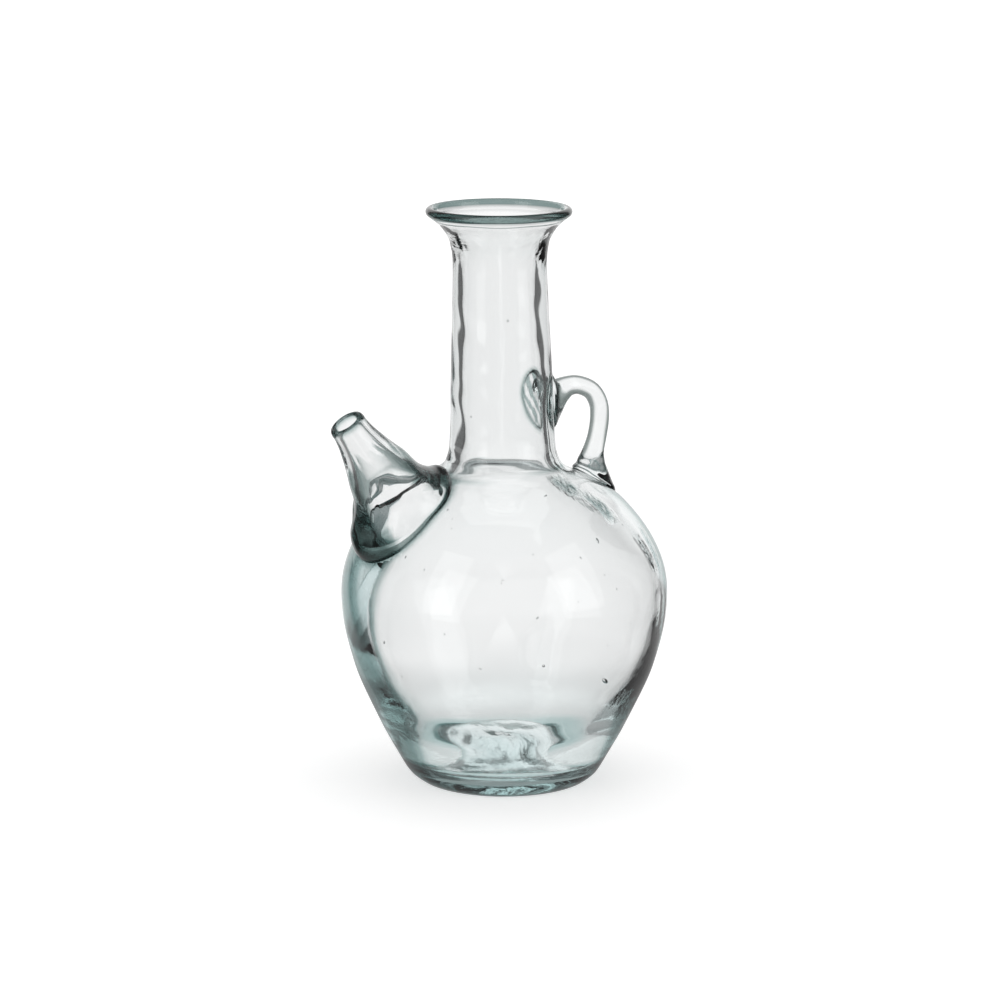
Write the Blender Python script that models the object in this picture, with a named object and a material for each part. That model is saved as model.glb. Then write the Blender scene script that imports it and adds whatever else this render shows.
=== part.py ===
"""Hand-blown glass oil bottle, as separate pieces of glass.

A round body with a pushed-up base carries a straight neck with a flared lip. A hollow pouring spout
sits on one shoulder over a pierced hole, and a solid loop handle joins the neck to the other shoulder.

Frame: metres, +Z up, z = 0 on the resting plane, origin under the centre of the whole outline.
The spout points to -X and the handle is opposite it, on the +X side. Dimensions below are in millimetres.
"""
import math

import bmesh
import bpy
from mathutils import Vector

MM = 0.001                      # metres in a millimetre
GAP = 0.3                       # clearance between neighbouring pieces of glass

# Vessel: radius and height where the outline changes, from the foot up to the lip.
VESSEL_OUTLINE = [
    (33.5, 0.0), (36.8, 2.6), (40.5, 8.5), (47.2, 21.0), (58.0, 46.0), (62.8, 71.0), (59.4, 89.5),
    (46.6, 108.5), (34.0, 116.8), (25.5, 121.0), (22.2, 124.5), (20.5, 130.0), (19.5, 158.0),
    (18.0, 199.0), (18.9, 208.5), (22.3, 214.8), (27.5, 219.2),
]
# Inner surface: the pushed-up floor from the axis outwards, then the wall up to the lip.
FLOOR_OUTLINE = [(0.0, 17.5), (12.0, 16.0), (22.0, 10.6), (29.0, 6.6), (34.0, 6.2), (38.4, 10.4)]
BORE_OUTLINE = [
    (38.4, 10.4), (43.0, 21.0), (54.2, 46.0), (59.3, 71.0), (55.2, 88.0), (41.4, 105.6), (29.0, 113.2),
    (18.8, 119.0), (15.8, 126.0), (15.3, 134.0), (14.8, 158.0), (13.7, 199.0), (14.6, 207.5),
    (18.6, 213.8), (24.4, 219.2),
]
LIP_TOP = 222.0                 # overall height
LIP_EDGE = 1.7                  # radius of the lip's rounded edge
NECK_ROOT = 122.5               # height of the crease between body and neck
LIP_ROOT = 209.5                # height of the tool line between neck and lip
LEAN_FROM = 80.0                # the glass above this height leans a little to one side
LEAN_RATE = 0.0165
LEAN_TURN = math.radians(151)   # direction of the lean, from +X

# Pushed-up base: underside height at a radius, from the axis out to the foot ring.
PUNT_OUTLINE = [(0.0, 10.0), (14.0, 8.6), (22.0, 5.2), (27.8, 1.5), (30.0, 0.0)]
SCAR_INNER = 8.8                # pontil scar: inner and outer radius, and depth
SCAR_OUTER = 12.6
SCAR_DEPTH = 2.0

# Spout: straight axis, measured from the centre of its mouth.
SPOUT_REACH = 65.6              # mouth centre from the vessel's axis
SPOUT_HEIGHT = 144.2            # mouth centre above the resting plane
SPOUT_RISE = math.radians(56)   # axis above the horizontal
HOLE_HALF_WIDTH = 15.2          # hole pierced through the body under the spout, and length over width
HOLE_STRETCH = 1.13
PAD_HALF_WIDTH = 19.2           # base pad: half width, and length over width
PAD_STRETCH = 1.18
PAD_DROP = 1.4                  # how far the pad's centre lies below the spout's axis
# Outer skin: radius and depth below the mouth.
SPOUT_SKIN = [
    (5.6, 0.0), (6.6, 0.4), (7.1, 1.7), (7.15, 4.0), (7.8, 8.0), (9.2, 13.3), (11.0, 19.0), (12.6, 23.5),
]
# Flare and pad: half width, length over width, stand off the body, share taken of the body's shape.
SPOUT_FLARE = [
    (14.2, 1.0, 13.0, 0.2), (16.0, 1.04, 9.6, 0.5), (18.0, 1.08, 7.0, 0.85), (19.4, 1.13, 5.2, 1.0),
    (20.0, 1.17, 3.2, 1.0), (19.8, 1.18, 1.2, 1.0),
]
# Bore, from the hole back up to the mouth: radius and depth.
SPOUT_BORE = [(13.6, 34.0), (11.2, 28.5), (8.8, 22.5), (6.8, 16.5), (5.4, 10.0), (4.6, 4.0), (4.6, 0.8)]

# Handle: solid rod, in a vertical plane through the vessel's axis.
ROD_DEEP = 3.65                 # rod's half thickness in the loop's plane
ROD_WIDE = 4.0                  # rod's half width across it
NECK_PAD = (146.0, 11.4, 10.4)   # height of centre, half height, half width
FOOT_PAD = (40.4, 8.0, 9.4)     # distance of centre from the axis, half depth, half width
# Rod's centre line: distance from the axis, height, how far the section swells.
ROD_PATH = [
    (25.0, 149.0, 1.4), (28.8, 150.6, 1.1), (33.6, 150.8, 1.0), (39.4, 148.2, 1.0), (42.7, 143.0, 1.0),
    (43.2, 136.8, 1.0), (42.0, 130.0, 1.0), (40.3, 124.4, 1.12), (39.4, 120.4, 1.45),
]

AROUND = 48                     # facets round the vessel
SPOUT_AROUND = 28
ROD_AROUND = 16


# ---------------------------------------------------------------- curves

def slopes(points):
    """Slope of the first value against the second at each point of a list in rising order."""
    inner = [(c[0] - a[0]) / (c[1] - a[1]) for a, c in zip(points, points[2:])]
    first = (points[1][0] - points[0][0]) / (points[1][1] - points[0][1])
    last = (points[-1][0] - points[-2][0]) / (points[-1][1] - points[-2][1])
    return [first] + inner + [last]


def hermite(points, at):
    """Value and slope, at a height, of the smooth curve through (value, height) points."""
    tangents = slopes(points)
    index = max(i for i in range(len(points) - 1) if i == 0 or points[i][1] <= at)
    (v0, h0), (v1, h1) = points[index], points[index + 1]
    span = h1 - h0
    t = (at - h0) / span
    m0, m1 = tangents[index] * span, tangents[index + 1] * span
    value = (2*t**3 - 3*t**2 + 1)*v0 + (t**3 - 2*t**2 + t)*m0 + (3*t**2 - 2*t**3)*v1 + (t**3 - t**2)*m1
    slope = ((6*t**2 - 6*t)*(v0 - v1) + (3*t**2 - 4*t + 1)*m0 + (3*t**2 - 2*t)*m1) / span
    return value, slope


def outer_radius(height):
    return hermite(VESSEL_OUTLINE, height)[0]


def punt_height(radius):
    """Height of the pushed-up underside at a radius."""
    return hermite([(height, at) for at, height in PUNT_OUTLINE], radius)[0]


def smooth(points, pieces):
    """Points of the Catmull-Rom curve through the given points, with `pieces` steps a span."""
    padded = [points[0]] + list(points) + [points[-1]]
    curve = []
    for a, b, c, d in zip(padded, padded[1:], padded[2:], padded[3:]):
        for step in range(pieces):
            t = step / pieces
            curve.append(tuple(
                0.5 * (2*q + (r - p)*t + (2*p - 5*q + 4*r - s)*t*t + (3*q - p - 3*r + s)*t**3)
                for p, q, r, s in zip(a, b, c, d)
            ))
    return curve + [tuple(points[-1])]


def wall(outline, low, high, pieces):
    """(radius, height) points of an outline from a low to a high level, `pieces` to each stretch."""
    levels = [a[1] + (b[1] - a[1]) * step / pieces
              for a, b in zip(outline, outline[1:]) for step in range(pieces)]
    levels = [low] + [level for level in levels if low + 0.8 < level < high - 0.8] + [high]
    return [(hermite(outline, level)[0], level) for level in levels]


def lean(height):
    """Sideways shift of the glass at a height."""
    rise = max(height - LEAN_FROM, 0.0)
    shift = LEAN_RATE * rise * rise / (rise + 25.0)
    return Vector((math.cos(LEAN_TURN), math.sin(LEAN_TURN), 0.0)) * shift


# ---------------------------------------------------------------- places on the vessel

def to_vessel(point, direction, stand):
    """Distance from a point outside the vessel, along a direction, to where it stands `stand` off it."""
    def clearance(distance):
        place = point + direction * distance
        radius, slope = hermite(VESSEL_OUTLINE, place.z)
        return (math.hypot(place.x, place.y) - radius) / math.hypot(1.0, slope) - stand

    near, far = 0.0, 0.5
    while clearance(far) > 0:
        near, far = far, far + 0.5
    for _ in range(30):
        middle = (near + far) / 2
        if clearance(middle) > 0:
            near = middle
        else:
            far = middle
    return near


# ---------------------------------------------------------------- solids

def finish(bm, name, colour):
    """Turn the mesh's faces outwards, lean it with the neck and give it its glass."""
    bmesh.ops.recalc_face_normals(bm, faces=bm.faces)
    for vert in bm.verts:
        vert.co += lean(vert.co.z)
    bmesh.ops.scale(bm, vec=(MM, MM, MM), verts=bm.verts)
    mesh = bpy.data.meshes.new(name)
    bm.to_mesh(mesh)
    bm.free()
    mesh.shade_smooth()
    mesh.set_sharp_from_angle(angle=math.radians(40))
    item = bpy.data.objects.new(name, mesh)
    bpy.context.scene.collection.objects.link(item)
    mesh.materials.append(glass(name + "_glass", colour))
    return item


def glass(name, colour):
    material = bpy.data.materials.new(name)
    material.use_nodes = True
    shader = material.node_tree.nodes["Principled BSDF"]
    shader.inputs["Base Color"].default_value = (*colour, 1.0)
    shader.inputs["Roughness"].default_value = 0.03
    shader.inputs["Metallic"].default_value = 0.0
    shader.inputs["IOR"].default_value = 1.5
    shader.inputs["Transmission Weight"].default_value = 1.0
    return material


def turned(name, outline, colour):
    """Solid turned from a closed outline of (radius, height); it may start and end on the axis."""
    bm = bmesh.new()
    verts = [bm.verts.new((radius, 0.0, height)) for radius, height in outline]
    edges = [bm.edges.new(pair) for pair in zip(verts, verts[1:])]
    if outline[0][0] > 0:
        edges.append(bm.edges.new((verts[-1], verts[0])))
    bmesh.ops.spin(bm, geom=verts + edges, cent=(0, 0, 0), axis=(0, 0, 1), angle=2 * math.pi,
                   steps=AROUND, use_merge=True)
    bmesh.ops.remove_doubles(bm, verts=bm.verts, dist=0.0001)
    return finish(bm, name, colour)


def lofted(name, rings, colour, ends):
    """Solid skinned over rings of points: `ends` "joined" closes it on itself, "points" caps it."""
    bm = bmesh.new()
    loops = [[bm.verts.new(point) for point in ring] for ring in rings]
    if ends == "joined":
        loops.append(loops[0])
    for low, high in zip(loops, loops[1:]):
        count = max(len(low), len(high))
        for i in range(count):
            j = (i + 1) % count
            corners = [low[i % len(low)], low[j % len(low)], high[j % len(high)], high[i % len(high)]]
            bm.faces.new(dict.fromkeys(corners))
    return finish(bm, name, colour)


# ---------------------------------------------------------------- the vessel

def body(colour):
    """Round body with its foot ring and pushed-up base."""
    top = NECK_ROOT - GAP / 2
    punt = [(radius, punt_height(radius)) for radius in (0.0, 6.0, 11.0, 16.0, 20.0, 24.0, 27.8, 30.0)]
    skin = wall(VESSEL_OUTLINE, 0.0, top, 2)
    bore = wall(BORE_OUTLINE, BORE_OUTLINE[0][1], top, 2)
    floor = smooth(FLOOR_OUTLINE, 2)
    return turned("body", punt + skin + bore[:0:-1] + floor[::-1], colour)


def neck(colour):
    low, high = NECK_ROOT + GAP / 2, LIP_ROOT - GAP / 2
    skin, bore = wall(VESSEL_OUTLINE, low, high, 2), wall(BORE_OUTLINE, low, high, 2)
    return turned("neck", skin + bore[::-1], colour)


def lip(colour):
    """Flared lip with a rounded edge."""
    low = LIP_ROOT + GAP / 2
    edge = VESSEL_OUTLINE[-1]
    centre = (edge[0] - LIP_EDGE * 0.8, LIP_TOP - LIP_EDGE)
    turns = [math.radians(angle) for angle in (-15, 15, 50, 90, 130, 165)]
    rim = [(centre[0] + LIP_EDGE * math.cos(a), centre[1] + LIP_EDGE * math.sin(a)) for a in turns]
    flare = wall(VESSEL_OUTLINE, low, edge[1], 2)[:-1]
    throat = wall(BORE_OUTLINE, low, BORE_OUTLINE[-1][1], 2)[:-1]
    return turned("lip", flare + rim + throat[::-1], colour)


def pontil_scar(colour):
    """Rough ring of glass under the base: its height wavers round the ring."""
    section = [(0.0, 0.0), (0.0, 0.55), (0.28, 1.0), (0.62, 0.85), (1.0, 0.45), (1.0, 0.0)]
    rings = []
    for across, deep in section:
        ring = []
        for step in range(AROUND // 2):
            turn = 4 * math.pi * step / AROUND
            waver = 1.0 + 0.07 * math.sin(3 * turn + 0.6) + 0.05 * math.sin(7 * turn)
            radius = (SCAR_OUTER + (SCAR_INNER - SCAR_OUTER) * across) * waver
            drop = GAP + SCAR_DEPTH * deep * (0.75 + 0.25 * math.sin(2 * turn + 1.0))
            ring.append((radius * math.cos(turn), radius * math.sin(turn), punt_height(radius) - drop))
        rings.append(ring)
    return lofted("pontil_scar", rings, colour, ends="joined")


# ---------------------------------------------------------------- the spout

SPOUT_AXIS = Vector((-math.cos(SPOUT_RISE), 0.0, math.sin(SPOUT_RISE)))
SPOUT_UP = Vector((math.sin(SPOUT_RISE), 0.0, math.cos(SPOUT_RISE)))
SPOUT_SIDE = Vector((0.0, 1.0, 0.0))
SPOUT_MOUTH = Vector((-SPOUT_REACH, 0.0, SPOUT_HEIGHT))


def spout_place(half_width, stretch, turn, depth, drop=0.0):
    """Point at a turn round an oval about the spout's axis, at a depth below its mouth."""
    across = SPOUT_UP * (stretch * math.cos(turn)) + SPOUT_SIDE * math.sin(turn)
    return SPOUT_MOUTH + across * half_width - SPOUT_UP * drop - SPOUT_AXIS * depth


def spout_turns():
    return [2 * math.pi * step / SPOUT_AROUND for step in range(SPOUT_AROUND)]


def level_ring(radius, depth):
    """Round ring square to the spout's axis."""
    return [spout_place(radius, 1.0, turn, depth) for turn in spout_turns()]


def draped_ring(half_width, stretch, stand, share=1.0):
    """Oval ring standing off the vessel; `share` mixes the vessel's shape with a flat ring."""
    turns = spout_turns()
    drop = PAD_DROP * (stretch - 1.0) / (PAD_STRETCH - 1.0)
    starts = [spout_place(half_width, stretch, turn, 0.0, drop) for turn in turns]
    depths = [to_vessel(start, -SPOUT_AXIS, stand) for start in starts]
    level = sum(depths) / len(depths)
    return [start - SPOUT_AXIS * (level + (depth - level) * share)
            for start, depth in zip(starts, depths)]


def spout(colour):
    """Tapered tube with a flared base pad that fits the shoulder round the pierced hole."""
    skin = [level_ring(radius, depth) for radius, depth in SPOUT_SKIN]
    flare = [draped_ring(*ring) for ring in SPOUT_FLARE]
    seat = []
    for step in range(4):
        inwards = step / 3
        half_width = PAD_HALF_WIDTH + (HOLE_HALF_WIDTH - PAD_HALF_WIDTH) * inwards
        seat.append(draped_ring(half_width, PAD_STRETCH + (HOLE_STRETCH - PAD_STRETCH) * inwards, GAP))
    bore = [level_ring(radius, depth) for radius, depth in SPOUT_BORE]
    return lofted("spout", skin + flare + seat + bore, colour, ends="joined")


def pierce(vessel_body, colour):
    """Oval hole through the body's wall on the spout's axis."""
    rings = []
    for depth in (25.0, 60.0):
        centre = spout_place(0.0, 1.0, 0.0, depth, PAD_DROP)
        oval_ring = [spout_place(HOLE_HALF_WIDTH, HOLE_STRETCH, turn, depth, PAD_DROP)
                     for turn in spout_turns()]
        rings += [[centre], oval_ring] if depth < 40 else [oval_ring, [centre]]
    cutter = lofted("spout_hole_cutter", rings, colour, ends="points")
    cutter.hide_render = True
    cutter.display_type = "WIRE"
    cut = vessel_body.modifiers.new("spout_hole", "BOOLEAN")
    cut.operation = "DIFFERENCE"
    cut.solver = "EXACT"
    cut.object = cutter
    return cutter


# ---------------------------------------------------------------- the handle

HANDLE_OUT = Vector((1.0, 0.0, 0.0))
HANDLE_SIDE = Vector((0.0, 1.0, 0.0))
UP = Vector((0.0, 0.0, 1.0))


def oval(centre, along, half_along, half_wide):
    """Ring of points round a centre, in the plane of one direction and the handle's side."""
    turns = [2 * math.pi * step / ROD_AROUND for step in range(ROD_AROUND)]
    return [centre + along * (half_along * math.cos(turn)) + HANDLE_SIDE * (half_wide * math.sin(turn))
            for turn in turns]


def on_vessel(ring, direction, stand):
    return [point + direction * to_vessel(point, direction, stand) for point in ring]


def neck_pad_ring(size, stand):
    height, half_high, half_wide = NECK_PAD
    centre = HANDLE_OUT * 40 + UP * height
    return on_vessel(oval(centre, UP, half_high * size, half_wide * size), -HANDLE_OUT, stand)


def foot_pad_ring(size, stand):
    reach, half_deep, half_wide = FOOT_PAD
    centre = HANDLE_OUT * reach + UP * 130
    return on_vessel(oval(centre, HANDLE_OUT, half_deep * size, half_wide * size), -UP, stand)


def rod_rings():
    """Rings along the rod's centre line, square to it."""
    path = smooth(ROD_PATH, 2)
    rings = []
    for index, (reach, height, swell) in enumerate(path):
        before, after = path[max(index - 1, 0)], path[min(index + 1, len(path) - 1)]
        heading = HANDLE_OUT * (after[0] - before[0]) + UP * (after[1] - before[1])
        across = HANDLE_SIDE.cross(heading.normalized())
        centre = HANDLE_OUT * reach + UP * height
        rings.append(oval(centre, -across, ROD_DEEP * swell, ROD_WIDE * swell))
    return rings


def handle(colour):
    """Loop from a pad on the neck over and down to a pad on the shoulder."""
    neck_seat = [neck_pad_ring(size, GAP) for size in (0.35, 0.7, 1.0)]
    neck_edge = [neck_pad_ring(0.95, 1.5), neck_pad_ring(0.76, 2.9)]
    foot_edge = [foot_pad_ring(0.82, 3.0), foot_pad_ring(0.98, 1.4)]
    foot_seat = [foot_pad_ring(size, GAP) for size in (1.0, 0.7, 0.35)]
    rings = [neck_pad_ring(0, GAP)[:1]] + neck_seat + neck_edge + rod_rings()
    rings += foot_edge + foot_seat + [foot_pad_ring(0, GAP)[:1]]
    return lofted("handle", rings, colour, ends="points")


# ---------------------------------------------------------------- assembly

def centre_on_outline(pieces, followers):
    """Move everything along X and Y so that the origin is under the middle of the pieces' box."""
    corners = [vert.co for piece in pieces for vert in piece.data.vertices]
    for axis in (0, 1):
        values = [corner[axis] for corner in corners]
        middle = (min(values) + max(values)) / 2
        for item in pieces + followers:
            item.location[axis] -= middle


def main():
    for item in list(bpy.data.objects):
        bpy.data.objects.remove(item)
    clear = (0.93, 0.96, 0.95)
    deep = (0.85, 0.92, 0.90)
    pieces = [body(deep), neck(clear), lip(clear), spout(clear), handle(clear), pontil_scar(deep)]
    cutter = pierce(pieces[0], deep)
    centre_on_outline(pieces, [cutter])


main()
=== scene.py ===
import math

import bmesh
import bpy
import numpy as np
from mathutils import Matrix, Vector


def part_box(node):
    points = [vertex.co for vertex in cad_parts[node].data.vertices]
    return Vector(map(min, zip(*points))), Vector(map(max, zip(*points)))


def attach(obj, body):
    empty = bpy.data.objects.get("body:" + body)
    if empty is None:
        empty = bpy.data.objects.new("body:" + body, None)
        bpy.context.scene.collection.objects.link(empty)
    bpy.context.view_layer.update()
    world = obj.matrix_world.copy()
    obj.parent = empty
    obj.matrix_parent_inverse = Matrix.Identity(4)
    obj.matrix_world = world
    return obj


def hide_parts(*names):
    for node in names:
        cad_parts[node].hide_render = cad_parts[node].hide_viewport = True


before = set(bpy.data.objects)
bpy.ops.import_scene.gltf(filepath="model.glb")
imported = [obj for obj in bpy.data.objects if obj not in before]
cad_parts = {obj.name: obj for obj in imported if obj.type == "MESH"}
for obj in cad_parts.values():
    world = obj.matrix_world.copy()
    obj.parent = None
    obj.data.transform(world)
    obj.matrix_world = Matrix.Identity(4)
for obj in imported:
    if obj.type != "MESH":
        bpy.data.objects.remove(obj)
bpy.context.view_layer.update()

# Every length below is in millimetres, from the vessel's own axis and the resting plane.
MM = 0.001
body_low, body_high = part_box("body")
AXIS_X = (body_low.x + body_high.x) / 2 / MM        # the vessel's axis in the object's frame
AXIS_Y = (body_low.y + body_high.y) / 2 / MM

# ---------------------------------------------------------------- camera

CAMERA_TURN = math.radians(241)     # where it stands, as an angle about the vessel's axis from +X
CAMERA_REACH = 1330.0
CAMERA_HEIGHT = 392.0
CAMERA_ASIDE = 1.55                 # it stands this far to its own left of the axis
CAMERA_PITCH = math.radians(12.026)
CAMERA_LENS = 127.26

toward = np.array([math.cos(CAMERA_TURN), math.sin(CAMERA_TURN)])
aside = np.array([toward[1], -toward[0]])
stand = np.array([AXIS_X, AXIS_Y]) + toward * CAMERA_REACH + aside * CAMERA_ASIDE
camera_data = bpy.data.cameras.new("camera")
camera_data.sensor_width = 36.0
camera_data.lens = CAMERA_LENS
camera = bpy.data.objects.new("camera", camera_data)
bpy.context.scene.collection.objects.link(camera)
camera.location = (stand[0] * MM, stand[1] * MM, CAMERA_HEIGHT * MM)
camera.rotation_euler = (math.pi / 2 - CAMERA_PITCH, 0.0, CAMERA_TURN + math.pi / 2)
bpy.context.scene.camera = camera

# ---------------------------------------------------------------- sizes of the real object

# These are the CAD solids' sizes, except where a comment says otherwise.
# Outer skin of the vessel, from the resting plane up to the rim: radius and height.
VESSEL_OUTLINE = [
    (33.5, 0.0), (36.8, 2.6), (40.5, 8.5), (47.2, 21.0), (58.0, 46.0), (62.8, 71.0), (59.4, 89.5),
    (46.6, 108.5), (34.0, 116.8), (25.5, 121.0), (22.2, 124.5), (20.5, 130.0), (19.5, 158.0),
    (18.0, 199.0), (18.9, 208.5), (22.3, 214.8), (27.5, 219.2),
]
# Inner skin: the pushed-up floor from the axis outwards, then the wall up to the rim. At the neck's root
# the bore is up to 2 mm wider than the CAD's, after a later look at the photograph.
FLOOR_OUTLINE = [(0.0, 17.5), (12.0, 16.0), (22.0, 10.6), (29.0, 6.6), (34.0, 6.2), (38.4, 10.4)]
BORE_OUTLINE = [
    (38.4, 10.4), (43.0, 21.0), (54.2, 46.0), (59.3, 71.0), (55.2, 88.0), (41.4, 105.6), (30.6, 113.2),
    (22.3, 117.6), (17.9, 122.5), (16.0, 129.0), (15.3, 135.0), (14.8, 158.0), (13.7, 199.0), (14.6, 207.5),
    (18.6, 213.8), (24.4, 219.2),
]
LIP_TOP = 222.0                 # overall height
LIP_EDGE = 1.7                  # radius of the rounded rim
LEAN_FROM = 80.0                # the neck leans from this height up
LEAN_EASE = 25.0                # height over which the lean sets in
LEAN_RATE = 0.0165              # sideways per millimetre of height, once it has set in
LEAN_TURN = math.radians(151)   # direction of the lean, from +X
# Underside of the pushed-up base, from the axis outwards: radius and height.
PUNT_OUTLINE = [(0.0, 10.0), (14.0, 8.6), (22.0, 5.2), (27.8, 1.5), (30.0, 0.0)]
SCAR_INNER = 8.8                # pontil scar: inner and outer radius, and depth
SCAR_OUTER = 12.6
SCAR_DEPTH = 2.0
SPOUT_REACH = 66.9              # the mouth stands 1.3 mm further out than the CAD spout's,
SPOUT_HEIGHT = 145.4            # and 1.2 mm higher, after a later look at the photograph
SPOUT_RISE = math.radians(56)   # axis above the horizontal
HOLE_HALF_WIDTH = 15.2          # hole through the body under the spout, and length over width
HOLE_STRETCH = 1.13
PAD_HALF_WIDTH = 19.2           # the spout's base pad: half width, and length over width
PAD_STRETCH = 1.18
PAD_DROP = 1.4                  # how far the pad's centre lies below the spout's axis
# Outside of the tube from its mouth down: radius and depth.
SPOUT_SKIN = [
    (5.6, 0.0), (6.6, 0.4), (7.1, 1.7), (7.15, 4.0), (7.8, 8.0), (9.2, 13.3), (11.0, 19.0), (12.6, 23.5),
]
# Flare and pad: half width, length over width, stand off the body, share taken of the body's shape.
SPOUT_FLARE = [
    (14.2, 1.0, 13.0, 0.2), (16.0, 1.04, 9.6, 0.5), (18.0, 1.08, 7.0, 0.85), (19.4, 1.13, 5.2, 1.0),
    (20.0, 1.17, 3.2, 1.0), (19.8, 1.18, 1.2, 1.0),
]
# Bore, from the hole back up to the mouth: radius and depth.
SPOUT_BORE = [(13.6, 34.0), (11.2, 28.5), (8.8, 22.5), (6.8, 16.5), (5.4, 10.0), (4.6, 4.0), (4.6, 0.8)]
ROD_DEEP = 3.65                 # the handle's rod: half thickness in the loop's plane
ROD_WIDE = 4.0                  # and half width across it
NECK_PAD = (146.0, 11.4, 10.4)  # height of centre, half height, half width
FOOT_PAD = (40.4, 8.0, 9.4)     # distance of centre from the axis, half depth, half width
# Middle of the rod: distance from the axis, height, how far the section swells.
ROD_PATH = [
    (25.0, 149.0, 1.4), (28.8, 150.6, 1.1), (33.6, 150.8, 1.0), (39.4, 148.2, 1.0), (42.7, 143.0, 1.0),
    (43.2, 136.8, 1.0), (42.0, 130.0, 1.0), (40.3, 124.4, 1.12), (39.4, 120.4, 1.45),
]

PUNT_RADIUS = PUNT_OUTLINE[-1][0]
OUTLINE_TOP = VESSEL_OUTLINE[-1][1]
FLOOR_EDGE = FLOOR_OUTLINE[-1][1]

# ---------------------------------------------------------------- sizes of the visual model only

AROUND = 192                    # points round the vessel
STEP = 1.3                      # spacing of rings up the vessel
FUSED_GAP = 0.05                # what is left between two pieces of glass melted together
BORE_TOP = 218.6                # the rings of the bore end here, just under the rim
THICK_SIDE = 5.2                # extra wall on the heavy side of the body, where the gather ran
THICK_TURN = math.radians(151)
THICK_HEIGHT = 82.0
THICK_FOOT = 2.2                # extra wall low down, all round
LIGHT_FOOT = 0.6                # and a little more of it across from the heavy side
FOOT_TURN = math.radians(-29)
SHARP = 38.0                    # degrees, the angle above which an edge stays sharp
MARCH = 0.5                     # first step of the search for the vessel's skin
MARCH_STEPS = 240
HALVINGS = 24                   # and how often the step is halved once it is found

# ---------------------------------------------------------------- curves and waves


def hermite(points, at):
    """Value and slope, at heights, of the smooth curve through (value, height) points."""
    values, heights = np.array(points, float).T
    at = np.asarray(at, float)
    slopes = np.empty(len(values))
    slopes[1:-1] = (values[2:] - values[:-2]) / (heights[2:] - heights[:-2])
    slopes[0] = (values[1] - values[0]) / (heights[1] - heights[0])
    slopes[-1] = (values[-1] - values[-2]) / (heights[-1] - heights[-2])
    i = np.clip(np.searchsorted(heights, at, side="right") - 1, 0, len(values) - 2)
    span = heights[i + 1] - heights[i]
    t = (at - heights[i]) / span
    v0, v1, m0, m1 = values[i], values[i + 1], slopes[i] * span, slopes[i + 1] * span
    value = (2*t**3 - 3*t**2 + 1)*v0 + (t**3 - 2*t**2 + t)*m0 + (3*t**2 - 2*t**3)*v1 + (t**3 - t**2)*m1
    slope = ((6*t**2 - 6*t)*(v0 - v1) + (3*t**2 - 4*t + 1)*m0 + (3*t**2 - 2*t)*m1) / span
    return value, slope


def punt_height(radius):
    return hermite([(height, at) for at, height in PUNT_OUTLINE], np.minimum(radius, PUNT_RADIUS))[0]


def spline(points, pieces):
    """Catmull-Rom curve through rows of values, with `pieces` steps between neighbouring rows."""
    points = np.asarray(points, float)
    padded = np.concatenate([points[:1], points, points[-1:]])
    out = []
    for p, q, r, s in zip(padded, padded[1:], padded[2:], padded[3:]):
        for step in range(pieces):
            t = step / pieces
            out.append(0.5 * (2*q + (r - p)*t + (2*p - 5*q + 4*r - s)*t*t + (3*q - p - 3*r + s)*t**3))
    return np.array(out + [points[-1]])


def bump(at, middle, width):
    """1 at the middle, falling smoothly to 0 over the width."""
    return np.exp(-((at - middle) / width) ** 2)


def ramp(at, low, high):
    """0 below low, 1 above high, smooth between."""
    t = np.clip((np.asarray(at, float) - low) / (high - low), 0.0, 1.0)
    return t * t * (3 - 2 * t)


def turn_from(turn, centre):
    """Angle from a centre, between -pi and pi."""
    return (turn - centre + math.pi) % (2 * math.pi) - math.pi


def tooled(turn, height):
    """Small uneven waves that the tool left in the flare under the lip."""
    where = ramp(height, 198.0, 205.0) * (1 - ramp(height, 214.0, 218.5))
    across = np.sin(11*turn + 2.6*np.sin(height*0.39 + 3*turn))
    upward = np.sin(height*0.9 + 3*np.sin(2*turn) + 2*np.sin(5*turn))
    fine = np.sin(19*turn - height*0.8 + 3*np.sin(3*turn))
    share = 0.5 + 0.5*np.sin(3*turn + 1.1) * np.sin(5*turn + 0.3)
    return where * share * (0.08*across*upward + 0.03*fine)


def outer_wave(turn, height):
    """How far the outer skin of the blown vessel stands off its even outline."""
    neck = ramp(height, 112.0, 128.0)
    slow = 0.22 * np.sin(2*turn + 0.035*height + 0.4) + 0.14 * np.sin(3*turn - 0.05*height)
    cords = 0.03 * np.sin(height*0.34 + 1.3*np.sin(turn + 0.5)) + 0.03 * np.sin(5*turn + 0.11*height)
    collar = -0.22 * bump(height, 209.6, 1.1) * (0.7 + 0.3*np.sin(2*turn + 2.0))
    root = -0.30 * bump(height + 1.2*np.sin(turn*2 + 0.6), 123.0, 1.6) * (0.6 + 0.4*np.sin(3*turn + 1.0))
    return slow*(1 - 0.75*neck) + cords*(1 - 0.3*neck) + collar + root + 0.6*tooled(turn, height)


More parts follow.
